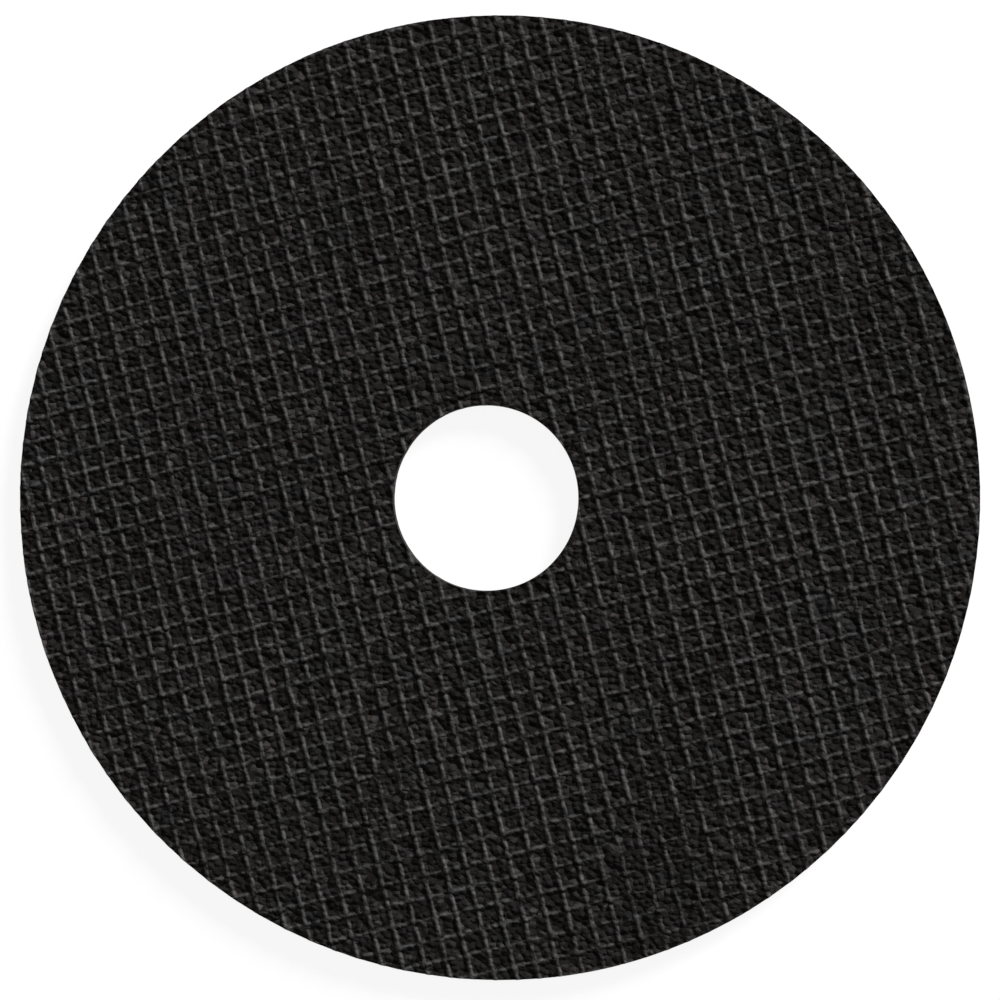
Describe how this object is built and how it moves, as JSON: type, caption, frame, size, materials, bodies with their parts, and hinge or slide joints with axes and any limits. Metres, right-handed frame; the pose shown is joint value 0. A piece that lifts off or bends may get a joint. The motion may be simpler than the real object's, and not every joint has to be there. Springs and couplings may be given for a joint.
{
  "type": "cut off wheel",
  "caption": "Thin flat cut off wheel of black resin-bonded abrasive with a plain round arbor bore and a woven glass mesh that stands in relief on both faces.",
  "frame": {"origin": "on the axis of the bore, at the level of the lower face on which the wheel lies", "axes": "+Z up along the bore's axis, out of the face the picture shows; +Y up in the picture and +X to its right"},
  "size_m": [0.115, 0.115, 0.0016],
  "materials": {
    "bonded_abrasive": "matte"
  },
  "bodies": {
    "root": {"cut_off_wheel": "bonded_abrasive"}
  },
  "joints": []
}
